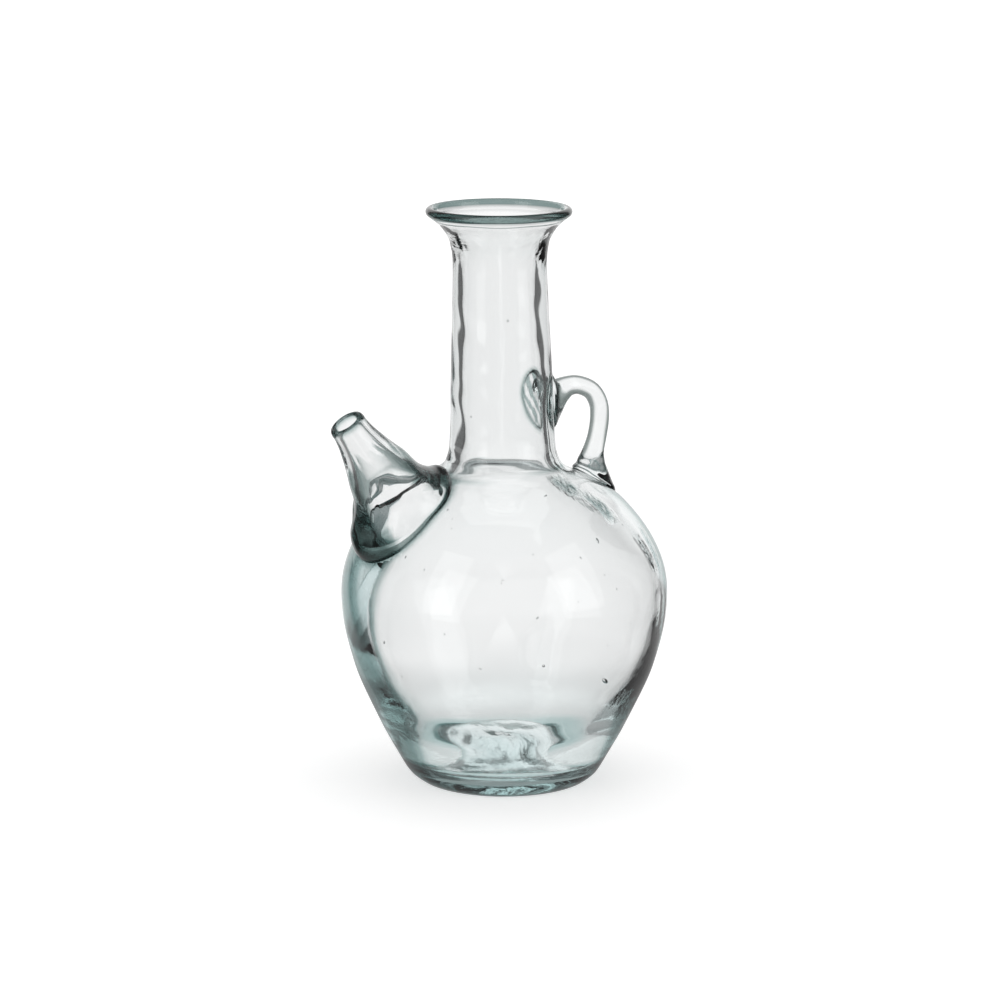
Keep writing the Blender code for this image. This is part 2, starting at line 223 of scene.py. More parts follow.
def inner_wave(turn, height):
    """How far the inner skin stands off its even outline, away from the axis."""
    neck = ramp(height, 112.0, 128.0)
    low = 1 - ramp(height, 26.0, 44.0)
    slow = 0.26 * np.sin(3*turn + 0.06*height + 1.0) + 0.12 * np.sin(5*turn - 0.09*height)
    cords = 0.05 * np.sin(height*0.27 + 1.8*np.sin(turn + 1.9)) + 0.04 * np.sin(7*turn + 0.16*height)
    cords += 0.10 * neck * np.sin(4*turn + 0.9*np.sin(height*0.21)) * np.sin(height*0.33 + 2*turn)
    cords += 0.05 * low * np.sin(9*turn + 1.4*np.sin(height*0.3))
    cords += 0.07 * low * np.sin(5*turn + height*0.35 + 2.0)
    root = -0.2 * bump(height + 1.5*np.sin(turn + 2.0), 121.5, 1.3) * (0.5 + 0.5*np.sin(2*turn + 1.2))
    heavy = THICK_SIDE * bump(turn_from(turn, THICK_TURN), 0.0, 0.62) * bump(height, THICK_HEIGHT, 32.0)
    heavy *= 1 - 0.8 * ramp(height, 90.0, 108.0)
    foot = THICK_FOOT * bump(height, 14.0, 22.0)
    foot += LIGHT_FOOT * bump(turn_from(turn, FOOT_TURN), 0.0, 0.8) * bump(height, 21.0, 13.0)
    flare = 1.0 * bump(height, 208.0, 6.0) + tooled(turn + 1.0, height)
    return slow*(1 - 0.5*neck) + cords + root + flare - heavy - foot


def off_vessel(points):
    """Distance of points outside the vessel's wavy outer skin, near enough for points close to it."""
    radius, slope = hermite(VESSEL_OUTLINE, np.clip(points[..., 2], 0.0, 219.0))
    turn = np.arctan2(points[..., 1], points[..., 0])
    out = (np.hypot(points[..., 0], points[..., 1]) - radius) / np.hypot(1.0, slope)
    return out - outer_wave(turn, points[..., 2])


def to_vessel(points, direction, off):
    """Points moved along a direction until they stand `off` the vessel's outer skin."""
    far = np.zeros(points.shape[:-1])
    reached = np.zeros(far.shape, bool)
    for _ in range(MARCH_STEPS):
        far = np.where(reached, far, far + MARCH)
        reached |= off_vessel(points + direction * far[..., None]) <= off
        if reached.all():
            break
    near = far - MARCH
    for _ in range(HALVINGS):
        middle = (near + far) / 2
        outside = off_vessel(points + direction * middle[..., None]) > off
        near = np.where(outside, middle, near)
        far = np.where(outside, far, middle)
    return points + direction * far[..., None]


# ---------------------------------------------------------------- meshes

def skin(rings, closed):
    """Points and faces over rings of equal length; ends are joined to each other or capped by fans."""
    count, around = rings.shape[:2]
    points = rings.reshape(-1, 3)
    rows = count if closed else count - 1
    i, j = np.meshgrid(np.arange(rows), np.arange(around), indexing="ij")
    up, on = (i + 1) % count, (j + 1) % around
    faces = np.stack([i*around + j, i*around + on, up*around + on, up*around + j], -1).reshape(-1, 4)
    faces = faces.tolist()
    if not closed:
        extra = np.array([rings[0].mean(0), rings[-1].mean(0)])
        first, last = len(points), len(points) + 1
        points = np.concatenate([points, extra])
        top = (count - 1) * around
        faces += [[first, (k + 1) % around, k] for k in range(around)]
        faces += [[last, top + k, top + (k + 1) % around] for k in range(around)]
    return points, faces


def enclosed(points, faces):
    """Six times the volume inside the faces, negative if they face inwards."""
    total = 0.0
    for face in faces:
        a = points[face[0]]
        for b, c in zip(face[1:-1], face[2:]):
            total += np.dot(a, np.cross(points[b], points[c]))
    return total


def lean_shift(points):
    """How far the hand-made lean of the neck carries each point, in x and y."""
    rise = np.maximum(points[:, 2] - LEAN_FROM, 0.0)
    shift = LEAN_RATE * rise * rise / (rise + LEAN_EASE)
    return np.stack([math.cos(LEAN_TURN) * shift, math.sin(LEAN_TURN) * shift], -1)


def placed(points):
    """Millimetres about the vessel's upright axis, as leaning points in the object's frame, in metres."""
    points = points.copy()
    points[:, :2] += lean_shift(points)
    points[:, :2] += (AXIS_X, AXIS_Y)
    return (points * MM).tolist()


def axis_points(item):
    """An object's points back in millimetres about the vessel's upright axis, without the lean."""
    flat = np.empty(len(item.data.vertices) * 3)
    item.data.vertices.foreach_get("co", flat)
    points = flat.reshape(-1, 3) / MM
    points[:, :2] -= (AXIS_X, AXIS_Y)
    points[:, :2] -= lean_shift(points)
    return points


def shade(mesh, sharp):
    """Shade smooth, except over edges sharper than an angle in degrees."""
    mesh.shade_smooth()
    mesh.set_sharp_from_angle(angle=math.radians(sharp))


def solid(name, points, faces, sharp=SHARP):
    """Mesh object from points in millimetres about the vessel's axis, smooth shaded, faces outwards."""
    if enclosed(points, faces) < 0:
        faces = [face[::-1] for face in faces]
    mesh = bpy.data.meshes.new(name)
    mesh.from_pydata(placed(points), [], faces)
    shade(mesh, sharp)
    item = bpy.data.objects.new(name, mesh)
    bpy.context.scene.collection.objects.link(item)
    return item


def store(item, name, values):
    attribute = item.data.attributes.new(name, "FLOAT", "POINT")
    attribute.data.foreach_set("value", np.asarray(values, np.float32))


# ---------------------------------------------------------------- directions

SPOUT_AXIS = np.array([-math.cos(SPOUT_RISE), 0.0, math.sin(SPOUT_RISE)])
SPOUT_UP = np.array([math.sin(SPOUT_RISE), 0.0, math.cos(SPOUT_RISE)])
SIDE = np.array([0.0, 1.0, 0.0])
SPOUT_MOUTH = np.array([-SPOUT_REACH, 0.0, SPOUT_HEIGHT])
PAD_CENTRE = SPOUT_MOUTH - SPOUT_UP * PAD_DROP
HANDLE_OUT = np.array([1.0, 0.0, 0.0])
UP = np.array([0.0, 0.0, 1.0])


def turns(count):
    return np.arange(count) * (2 * math.pi / count)


# ---------------------------------------------------------------- vessel

def levels(low, high):
    return np.linspace(low, high, max(2, int(round((high - low) / STEP)) + 1))


def vessel_outline(turn):
    """Radius, height and wave of each ring, from under the base over the lip to the middle of the floor.

    The wave pushes a ring to the right of the outline's heading: out of the glass on every skin.
    """
    rings = []
    for radius in np.append(np.linspace(0.6, 29.4, 22), PUNT_RADIUS):
        swell = 0.25 * np.sin(2*turn + radius*0.2)
        rings.append((radius, punt_height(radius), swell * ramp(PUNT_RADIUS - radius, 0.0, 8.0)))
    for height in levels(0.0, OUTLINE_TOP):
        radius = hermite(VESSEL_OUTLINE, height)[0]
        rings.append((radius, height, outer_wave(turn, height) * ramp(height, 0.0, 6.0)))
    rim_radius = VESSEL_OUTLINE[-1][0] - LIP_EDGE * 0.8
    for angle in np.radians(np.arange(-10, 166, 12.5)):
        height = LIP_TOP - LIP_EDGE + LIP_EDGE*math.sin(angle)
        rings.append((rim_radius + LIP_EDGE*math.cos(angle), height, 0*turn))
    for height in levels(FLOOR_EDGE, BORE_TOP)[::-1]:
        radius = hermite(BORE_OUTLINE, height)[0]
        rings.append((radius, height, -inner_wave(turn, height) * ramp(height, 10.0, 24.0)))
    for radius, height in spline(FLOOR_OUTLINE, 6)[::-1][1:-1]:
        swell = 0.16 * np.sin(3*turn + radius*0.3)
        swell += 0.06 * np.sin(7*turn - radius*0.45) * np.sin(radius*0.4)
        rings.append((radius, height, -swell * ramp(radius, 2.0, 12.0)))
    return rings


def vessel():
    """Body, neck and lip as the one blown bubble that they are, pierced for the spout."""
    turn = turns(AROUND)
    outline = vessel_outline(turn)
    along = np.gradient(np.array([(float(radius), float(height)) for radius, height, _ in outline]), axis=0)
    along /= np.linalg.norm(along, axis=1, keepdims=True)
    rings = []
    for (radius, height, wave), (along_radius, along_height) in zip(outline, along):
        reach = radius + wave * along_height
        rings.append(np.stack([reach*np.cos(turn), reach*np.sin(turn), height - wave*along_radius], -1))
    item = solid("vessel_glass", *skin(np.array(rings), closed=False))
    pierce(item)
    add_seeds(item.data)
    shade(item.data, SHARP)
    return item


def pierce(item):
    """Cut the hole under the spout: an oval prism along the spout's axis."""
    around = turns(72)
    across = SPOUT_UP * (HOLE_STRETCH * np.cos(around))[:, None] + SIDE * np.sin(around)[:, None]
    rim = PAD_CENTRE + across * HOLE_HALF_WIDTH
    rings = np.stack([rim - SPOUT_AXIS * depth for depth in (25.0, 60.0)])
    cutter = solid("hole_cutter", *skin(rings, closed=False))
    cut = item.modifiers.new("hole", "BOOLEAN")
    cut.operation = "DIFFERENCE"
    cut.solver = "EXACT"
    cut.object = cutter
    graph = bpy.context.evaluated_depsgraph_get()
    pierced = bpy.data.meshes.new_from_object(item.evaluated_get(graph))
    item.modifiers.clear()
    item.data = pierced
    pierced.name = item.name
    bpy.data.objects.remove(cutter)


# bubbles in the wall: turn about the axis in degrees, height, half width, half length, slant in degrees
SEEDS = [
    (-76.3, 101.6, 0.55, 1.15, 8), (-78.0, 48.1, 0.8, 1.9, -55), (-104.9, 57.8, 0.5, 0.55, 0),
    (-166.2, 62.7, 0.4, 0.7, 30), (-160.7, 96.1, 0.4, 0.5, 0), (-150.3, 112.9, 0.35, 0.5, 0),
    (-110.2, 181.2, 0.35, 0.5, 0), (-157.1, 144.1, 0.3, 0.4, 0), (-90.5, 117.0, 0.3, 1.0, 60),
]
SMALL_SEEDS = 26                    # and smaller ones all round the body
GOLDEN_ANGLE = 137.5
for number in range(SMALL_SEEDS):
    seed_turn = (number * GOLDEN_ANGLE) % 360 - 180
    seed_height = 30 + (number * 61) % 78
    seed_size = (0.2 + 0.05*(number % 3), 0.25 + 0.12*(number % 4))
    SEEDS.append((seed_turn, seed_height, *seed_size, (number * 37) % 180))
SEED_DEPTH = 1.5                    # middle of a bubble, under the outer skin
SEED_FLATTEN = 0.8


def seeds():
    """Points and faces of the bubbles, each a closed shell that faces into its own hollow."""
    points, faces = [], []
    around = turns(10)
    count = 0
    for degrees, at, half_wide, half_long, slant in SEEDS:
        turn = math.radians(degrees)
        reach, slope = hermite(VESSEL_OUTLINE, at)
        out = np.array([math.cos(turn), math.sin(turn), -float(slope)]) / math.hypot(1, slope)
        level = np.array([-math.sin(turn), math.cos(turn), 0.0])
        rise = np.cross(out, level)
        along = rise * math.cos(math.radians(slant)) + level * math.sin(math.radians(slant))
        across = np.cross(out, along)
        flat = across * np.cos(around)[:, None] + out * (SEED_FLATTEN*np.sin(around))[:, None]
        centre = np.array([reach*math.cos(turn), reach*math.sin(turn), at]) - out * SEED_DEPTH
        rings = []
        for tilt in np.radians([-72, -48, -24, 0, 24, 48, 72]):
            rings.append(centre + along * (half_long*math.sin(tilt)) + flat * (half_wide*math.cos(tilt)))
        ring_points, ring_faces = skin(np.array(rings), closed=False)
        if enclosed(ring_points - centre, ring_faces) > 0:
            ring_faces = [face[::-1] for face in ring_faces]
        faces += [[corner + count for corner in face] for face in ring_faces]
        points.append(ring_points)
        count += len(ring_points)
    return np.concatenate(points), faces


def add_seeds(mesh):
    """Add the bubbles to the vessel's mesh."""
    points, faces = seeds()
    whole = bmesh.new()
    whole.from_mesh(mesh)
    corners = [whole.verts.new(point) for point in placed(points)]
    for face in faces:
        whole.faces.new([corners[k] for k in face])
    whole.to_mesh(mesh)
    whole.free()


# ---------------------------------------------------------------- spout

SPOUT_AROUND = 96
PAD_SWELL = (0.3, 1.0, 2.0, 2.4, 1.6, 0.4)      # extra height of the pad's rings at their downhill end
FUSED = 0.0                         # fused_field is below 1 where a skin is melted to another piece
UNFUSED = 2.0


def spout_ring(radius, depth):
    turn = turns(SPOUT_AROUND)
    across = SPOUT_UP * np.cos(turn)[:, None] + SIDE * np.sin(turn)[:, None]
    return SPOUT_MOUTH + across * radius - SPOUT_AXIS * depth


def draped(half_width, stretch, off, share=1.0, swell=0.0):
    """Oval ring standing off the vessel; `share` mixes the vessel's shape with a flat ring."""
    turn = turns(SPOUT_AROUND)
    drop = PAD_DROP * (stretch - 1.0) / (PAD_STRETCH - 1.0)
    wide = half_width * (1.0 + 0.012*np.sin(3*turn + 0.4) + 0.008*np.sin(5*turn))
    across = SPOUT_UP * (stretch * np.cos(turn))[:, None] + SIDE * np.sin(turn)[:, None]
    start = SPOUT_MOUTH + across * wide[:, None] - SPOUT_UP * drop
    low = 0.5 - 0.5*np.cos(turn)                  # 1 at the downhill end of the pad
    placed = to_vessel(start, -SPOUT_AXIS, off + swell * low**2)
    depth = (start - placed) @ SPOUT_AXIS
    level = depth.mean()
    return start - SPOUT_AXIS * (level + (depth - level) * share)[:, None]


def spout():
    """Tapered tube with a flared, melted-on pad."""
    tube = [spout_ring(radius, depth) for radius, depth in SPOUT_SKIN]
    flare = [draped(*ring, swell=swell) for ring, swell in zip(SPOUT_FLARE, PAD_SWELL)]
    outside = spline(tube + flare, 5)
    seat = []
    for inwards in np.linspace(0.0, 1.0, 5):
        half_width = PAD_HALF_WIDTH + (HOLE_HALF_WIDTH - PAD_HALF_WIDTH) * inwards
        stretch = PAD_STRETCH + (HOLE_STRETCH - PAD_STRETCH) * inwards
        seat.append(draped(half_width, stretch, FUSED_GAP))
    seat = spline(seat, 2)
    bore = spline([seat[-1]] + [spout_ring(radius, depth) for radius, depth in SPOUT_BORE], 5)[1:]
    item = solid("spout_glass", *skin(np.concatenate([outside, seat, bore]), closed=True))
    melted = [UNFUSED] * len(outside) + [FUSED] * len(seat) + [UNFUSED] * len(bore)
    store(item, "fused_field", np.repeat(melted, SPOUT_AROUND))
    return item


# ---------------------------------------------------------------- handle

ROD_AROUND = 40
LOOP_EYE = (30.0, 136.0)        # middle of the hole in the loop, out from the axis and up
PAD_START = 40.0                # rings of the neck pad move in from this reach on to the glass
FOOT_START = 130.0              # and those of the foot pad move down from this height
PAD_SIZES = (0.06, 0.35, 0.7, 0.96)


def rod_oval(centre, along, half_along, half_wide):
    turn = turns(ROD_AROUND)
    ring = along * (half_along * np.cos(turn))[:, None] + SIDE * (half_wide * np.sin(turn))[:, None]
    return centre + ring


def neck_pad_ring(size, off):
    height, half_high, half_wide = NECK_PAD
    ring = rod_oval(HANDLE_OUT * PAD_START + UP * height, UP, half_high * size, half_wide * size)
    return to_vessel(ring, -HANDLE_OUT, off)


def foot_pad_ring(size, off):
    reach, half_deep, half_wide = FOOT_PAD
    ring = rod_oval(HANDLE_OUT * reach + UP * FOOT_START, HANDLE_OUT, half_deep * size, half_wide * size)
    return to_vessel(ring, -UP, off)


def rod_rings():
    path = spline(ROD_PATH, 4)
    heading = np.gradient(path[:, :2], axis=0)
    rings = []
    for (reach, height, swell), (dx, dz) in zip(path, heading):
        tangent = (HANDLE_OUT * dx + UP * dz) / math.hypot(dx, dz)
        across = np.cross(SIDE, tangent)
        rings.append(rod_oval(HANDLE_OUT * reach + UP * height, -across, ROD_DEEP*swell, ROD_WIDE*swell))
    return rings


def handle():
    """Loop from a pad on the neck over and down to a pad on the shoulder."""
    neck_seat = [neck_pad_ring(size, FUSED_GAP) for size in PAD_SIZES]
    start = [neck_pad_ring(1.0, 0.6), neck_pad_ring(0.95, 1.5), neck_pad_ring(0.76, 2.9)]
    end = [foot_pad_ring(0.82, 3.0), foot_pad_ring(0.98, 1.4), foot_pad_ring(1.0, 0.6)]
    foot_seat = [foot_pad_ring(size, FUSED_GAP) for size in PAD_SIZES[::-1]]
    rod = rod_rings()
    outside = np.concatenate([spline(start + rod[:1], 3)[:-1], rod, spline(rod[-1:] + end, 3)[1:]])
    points, faces = skin(np.concatenate([neck_seat, outside, foot_seat]), closed=False)
    item = solid("handle_glass", points, faces)
    fused = np.full(len(points), UNFUSED)
    fused[:len(neck_seat) * ROD_AROUND] = FUSED
    fused[-(len(foot_seat) * ROD_AROUND + 2):] = FUSED      # with the middles of both end caps
    store(item, "fused_field", fused)
    return item


# ---------------------------------------------------------------- pontil scar

SCAR_AROUND = 96
SCAR_LIFT = 0.25                    # how far the scar stands clear of the punt
# share of the way from the outer to the inner edge, and share of the depth
SCAR_SECTION = [
    (0.0, 0.0), (0.0, 0.3), (0.1, 0.62), (0.28, 1.0), (0.45, 0.95), (0.62, 0.85), (0.85, 0.6),
    (1.0, 0.3), (1.0, 0.0),
]


def scar():
    """Rough ring of glass that the pontil rod left under the base."""
    turn = turns(SCAR_AROUND)
    waver = 1.0 + 0.07*np.sin(3*turn + 0.6) + 0.05*np.sin(7*turn)
    chips = 0.12*np.sin(11*turn + 1.0) + 0.1*np.sin(17*turn) + 0.08*np.sin(29*turn + 2.0)
    rings = []
    for across, deep in SCAR_SECTION:
        radius = (SCAR_OUTER + (SCAR_INNER - SCAR_OUTER) * across) * waver
        drop = SCAR_DEPTH * deep * (0.75 + 0.25*np.sin(2*turn + 1.0) + chips*deep)
        height = punt_height(radius) - FUSED_GAP - SCAR_LIFT - drop
        rings.append(np.stack([radius*np.cos(turn), radius*np.sin(turn), height], -1))
    item = solid("pontil_glass", *skin(np.array(rings), closed=True), sharp=60.0)
    store(item, "fused_field", np.full(len(rings) * SCAR_AROUND, UNFUSED))
    return item


# ---------------------------------------------------------------- nodes

def new_node(tree, kind, **settings):
    node = tree.nodes.new(kind)
    for key, value in settings.items():
        setattr(node, key, value)
    return node


def feed(tree, socket, value):
    """Give a socket a plain number, or link another node's output to it."""
    if isinstance(value, (int, float)):
        socket.default_value = value
    else:
        tree.links.new(value, socket)


def math_node(tree, operation, *values):
    node = new_node(tree, "ShaderNodeMath", operation=operation)
    for socket, value in zip(node.inputs, values):
        feed(tree, socket, value)
    return node.outputs[0]


def map_range(tree, value, from_min, from_max, to_min, to_max, interpolation="LINEAR"):
    node = new_node(tree, "ShaderNodeMapRange", interpolation_type=interpolation)
    node.inputs["From Min"].default_value = from_min
    node.inputs["From Max"].default_value = from_max
    node.inputs["To Min"].default_value = to_min
    node.inputs["To Max"].default_value = to_max
    tree.links.new(value, node.inputs["Value"])
    return node.outputs["Result"]


def fade(tree, value, start, end):
    """1 where the value is below start, 0 above end, smooth between."""
    return map_range(tree, value, start, end, 1.0, 0.0, "SMOOTHSTEP")


def blend_values(tree, share, first, second):
    """A value between two others, by a share from 0 to 1."""
    mix = new_node(tree, "ShaderNodeMix")
    tree.links.new(share, mix.inputs["Factor"])
    feed(tree, mix.inputs["A"], first)
    feed(tree, mix.inputs["B"], second)
    return mix.outputs["Result"]


def noise(tree, place, scale, detail):
    node = new_node(tree, "ShaderNodeTexNoise")
    node.inputs["Scale"].default_value = scale
    node.inputs["Detail"].default_value = detail
    tree.links.new(place, node.inputs["Vector"])
    return node.outputs["Fac"]


def bumped(tree, height, distance, normal=None):
    """The skin's direction with bumps of a height in metres, on top of an earlier direction."""
    node = new_node(tree, "ShaderNodeBump")
    node.inputs["Strength"].default_value = 1.0
    node.inputs["Distance"].default_value = distance
    tree.links.new(height, node.inputs["Height"])
    if normal:
        tree.links.new(normal, node.inputs["Normal"])
    return node.outputs["Normal"]


def stored(tree, name):
    """Node that reads a value stored on the mesh's points."""
    return new_node(tree, "ShaderNodeAttribute", attribute_name=name)


# ---------------------------------------------------------------- glass

GLASS_INDEX = 1.5
ABSORB = (0.775, 0.865, 0.868)
DENSITY = 19.0
PRINT_DEPTH = 0.0022            # metres, height of the streaks in the tools' prints

# painted edge shade: light that the skin lets through, from seen square on (0) to seen along the skin (1)
EDGE_SHADE = [(0.0, 1.0), (0.54, 1.0), (0.62, 0.80), (0.68, 0.30), (0.75, 0.13), (0.97, 0.12), (1.0, 0.3)]
ROD_EDGE_SHADE = [(0.0, 1.0), (0.28, 1.0), (0.36, 0.65), (0.44, 0.18), (0.60, 0.09), (0.95, 0.08), (1.0, 0.3)]


def glass(name, red, edge, ripple=0.00014, grain=0.000004, rough=0.02):
    """Clear glass: a tinted volume, a rippled skin, painted shade at the edges of the view and where
    stored, and no surface where two pieces are fused.

    `red` is how much faster red fades than green in the painted dark edges; ripple and grain are in metres.
    """
    material = bpy.data.materials.new(name)
    material.use_nodes = True
    tree = material.node_tree
    tree.nodes.clear()
    output = new_node(tree, "ShaderNodeOutputMaterial")
    shader = new_node(tree, "ShaderNodeBsdfPrincipled")
    shader.inputs["Transmission Weight"].default_value = 1.0
    shader.inputs["IOR"].default_value = GLASS_INDEX
    shader.inputs["Metallic"].default_value = 0.0
    volume = new_node(tree, "ShaderNodeVolumeAbsorption")
    volume.inputs["Color"].default_value = (*ABSORB, 1.0)
    volume.inputs["Density"].default_value = DENSITY
    place = new_node(tree, "ShaderNodeTexCoord").outputs["Object"]

    # skin: slow ripples, a fine grain, and prints of the tools, which are deep slanting streaks
    slanted = new_node(tree, "ShaderNodeMapping")
    slanted.inputs["Rotation"].default_value = (0.5, 0.3, 0.6)
    slanted.inputs["Scale"].default_value = (1.0, 0.35, 1.0)
    tree.links.new(place, slanted.inputs["Vector"])
    streaks = noise(tree, slanted.outputs["Vector"], 520.0, 3.0)
    pressed = math_node(tree, "MULTIPLY", streaks, stored(tree, "prints").outputs["Fac"])
    normal = bumped(tree, noise(tree, place, 55.0, 1.5), ripple)
    normal = bumped(tree, noise(tree, place, 420.0, 2.0), grain, normal)
    normal = bumped(tree, pressed, PRINT_DEPTH, normal)
    tree.links.new(normal, shader.inputs["Normal"])

    # roughness: clear, with slightly duller patches
    dull = map_range(tree, noise(tree, place, 90.0, 4.0), 0.35, 0.75, 0.0, rough)
    tree.links.new(dull, shader.inputs["Roughness"])

    # painted shade: the base colour darkens towards the edges of the view, in place of the dark edges that
    # refraction shows, and is multiplied by the painted shade stored on the points
    facing = new_node(tree, "ShaderNodeLayerWeight")
    facing.inputs["Blend"].default_value = 0.5
    shifted = math_node(tree, "ADD", facing.outputs["Facing"], stored(tree, "edge_shade_shift").outputs["Fac"])
    edge_shade = new_node(tree, "ShaderNodeValToRGB")
    stops = edge_shade.color_ramp.elements
    for number, (at, level) in enumerate(edge):
        stop = stops[number] if number < 2 else stops.new(at)
        stop.position = at
        stop.color = (level ** red, level, level ** 1.02, 1.0)
    shade_mix = new_node(tree, "ShaderNodeMixRGB", blend_type="MULTIPLY")
    shade_mix.inputs["Fac"].default_value = 1.0
    tree.links.new(shifted, edge_shade.inputs["Fac"])
    tree.links.new(edge_shade.outputs["Color"], shade_mix.inputs["Color1"])
    tree.links.new(stored(tree, "shade_and_tone").outputs["Color"], shade_mix.inputs["Color2"])
    tree.links.new(shade_mix.outputs["Color"], shader.inputs["Base Color"])

    # fused skins: index 1, so light crosses from piece to piece undisturbed
    free = math_node(tree, "GREATER_THAN", stored(tree, "fused_field").outputs["Fac"], 1.0)
    index = math_node(tree, "MULTIPLY_ADD", free, GLASS_INDEX - 1.0, 1.0)
    tree.links.new(index, shader.inputs["IOR"])

    tree.links.new(shader.outputs[0], output.inputs["Surface"])
    tree.links.new(volume.outputs[0], output.inputs["Volume"])
    return material


# ---------------------------------------------------------------- values stored on the skins

SPOUT_SIDE = -15.0                  # points beyond this x belong to the spout's side
MELTED_SPOUT = 0.985                # share of the pad's width that is melted to the vessel
MELTED_HANDLE = 0.95


def oval_field(points, centre, along, across, half_along, half_across):
    """1 on an oval's edge, smaller inside it, larger outside."""
    local = points - centre
    return np.hypot(local @ along / half_along, local @ across / half_across)


# prints of the tools: strength, turn in degrees, height, half width, half height
PRINTS = [
    (1.0, -68, 118.5, 3.8, 2.6), (1.0, -60, 110.5, 3.4, 4.2), (0.15, -64, 114.5, 5.0, 4.0),
    (0.30, -41, 93, 2.4, 8.0), (0.25, -39, 68, 2.0, 7.0), (0.22, -47, 28, 6.0, 4.5),
    (0.20, -168, 22, 6.0, 4.0),
]


def darken(amount, field):
    return 1.0 - amount * field


def uneven(points, size):
    """A soft irregular value between 0 and 1, for breaking up the edges of shaded patches."""
    x, y, z = (points / size).T
    value = np.sin(x + 1.7*np.sin(y + 0.6*z))
    value += np.sin(1.3*y - z + 1.4*np.sin(0.8*x))
    value += np.sin(0.9*z + x - y)
    return 0.5 + value / 6


def store_shade_and_tone(item, values, teal=0.0):
    """Painted shade: share of light that the skin lets through at each point, as a faint teal grey."""
    colours = np.stack([values ** 1.25 * (1 - teal), values, values ** 1.02, np.ones_like(values)], -1)
    attribute = item.data.attributes.new("shade_and_tone", "FLOAT_COLOR", "POINT")
    attribute.data.foreach_set("color", colours.astype(np.float32).ravel())


def dress_vessel(item):
    """Store where the vessel's skin is fused, printed and darkened by painted shade, and where its painted
    edge shade is shifted.
    """
    points = axis_points(item)
    height = points[:, 2]
    radius = np.hypot(points[:, 0], points[:, 1])
    turn = np.arctan2(points[:, 1], points[:, 0])
    on_outside = np.abs(off_vessel(points)) < 0.6
    inside = (np.abs(off_vessel(points)) > 0.9) & (height > 9.0)
    spout_side = points[:, 0] < SPOUT_SIDE
    handle_side = points[:, 0] > 0

    # fused: under the spout's pad and the handle's pads, and round the wall of the hole
    pad = oval_field(points, PAD_CENTRE, SPOUT_UP, SIDE, PAD_HALF_WIDTH * PAD_STRETCH, PAD_HALF_WIDTH)
    neck_pad = oval_field(points, UP * NECK_PAD[0], UP, SIDE,
                          NECK_PAD[1] * MELTED_HANDLE, NECK_PAD[2] * MELTED_HANDLE)
    neck_pad = np.where(handle_side & (height > 125), neck_pad, UNFUSED)
    foot_pad = oval_field(points, HANDLE_OUT * FOOT_PAD[0], HANDLE_OUT, SIDE,
                          FOOT_PAD[1] * MELTED_HANDLE, FOOT_PAD[2] * MELTED_HANDLE)
    foot_pad = np.where(handle_side & (height > 95) & (height < 125), foot_pad, UNFUSED)
    handle_pads = np.minimum(neck_pad, foot_pad)
    fused = np.minimum(np.where(spout_side, pad / MELTED_SPOUT, UNFUSED), handle_pads)
    from_pad = points - PAD_CENTRE
    hole = np.hypot(from_pad @ SPOUT_UP / HOLE_STRETCH, from_pad @ SIDE) / HOLE_HALF_WIDTH
    on_wall = (np.abs(hole - 1.0) < 0.02) & spout_side & (from_pad @ SPOUT_AXIS < -20)
    fused = np.where(on_outside, fused, UNFUSED)
    store(item, "fused_field", np.where(on_wall, FUSED, fused))

    # painted shade: where the dark band painted at the edges of the view sits, nearer the rim of the view
    # on the round body than on the neck; it is deeper on the heavy side, low on the body and on the lip's
    # outer skin
    on_neck = ramp(height, 112.0, 126.0) * (1 - ramp(height, 217.4, 218.6))
    lip_skin = ramp(height, 217.8, 218.8) * np.where(inside, -0.3, 1.0)
    low_edge = 0.17 * bump(height, 36.0, 22.0) * ~inside
    edge_shade_shift = np.where(inside, -0.20, -0.02) + 0.12*np.cos(turn - THICK_TURN)
    store(item, "edge_shade_shift", edge_shade_shift - 0.5*on_neck + 0.38*lip_skin + low_edge)

    def patch(turn_degrees, at, half_across, half_height):
        """1 in the middle of an oval patch of the outer skin, fading to 0 at its edge."""
        across = turn_from(turn, math.radians(turn_degrees)) * radius
        return np.exp(-((across / half_across) ** 4 + ((height - at) / half_height) ** 4)) * on_outside

    # prints of the tools: below the handle, faintly along the sides, under the lip and in the floor
    prints = 0.05 * bump(height, 209.0, 5.0) + 0.05 * inside * (1 - ramp(height, 16.0, 24.0))
    for strength, *spot in PRINTS:
        prints += strength * patch(*spot)
    prints = np.clip(prints, 0.0, 1.0)
    store(item, "prints", prints)

    # painted shade: the rounded rim, the seams and faces of the pads, the crease at the neck's root and the
    # prints are darkened where refraction shows them dark; the foot is darkened too, and the foot and lower
    # body are tinted teal
    rim = ramp(height, 217.9, 218.7) * ramp(radius, 25.4, 26.2)
    spout_seam_shade = bump(pad, 0.99, 0.085) * (on_outside & spout_side)
    pad_seam_shade = bump(handle_pads, 1.05, 0.10) * on_outside
    pad_face_shade = ramp(uneven(points, 1.3), 0.46, 0.58) * (on_outside & (handle_pads < 1.0))
    crease_shade = bump(height + 1.6*np.sin(2*turn + 0.6), 122.0, 0.75) * on_outside
    crease_shade *= 0.5 + 0.5*np.sin(3*turn + 4.4)
    print_shade = prints * (0.5 + 0.5*ramp(uneven(points, 0.9), 0.32, 0.5))
    # painted shade: the foot darker, and more teal
    foot = 1 - ramp(height, 4.0, 9.0)
    light = np.ones(len(points))
    for amount, field in ((0.9, rim), (0.9, spout_seam_shade), (0.9, pad_seam_shade), (0.72, pad_face_shade),
                          (0.75, crease_shade), (0.85, print_shade), (0.25, foot)):
        light *= darken(amount, field)
    store_shade_and_tone(item, light, 0.03 * (1 - ramp(height, 12.0, 40.0)) + 0.15 * foot)


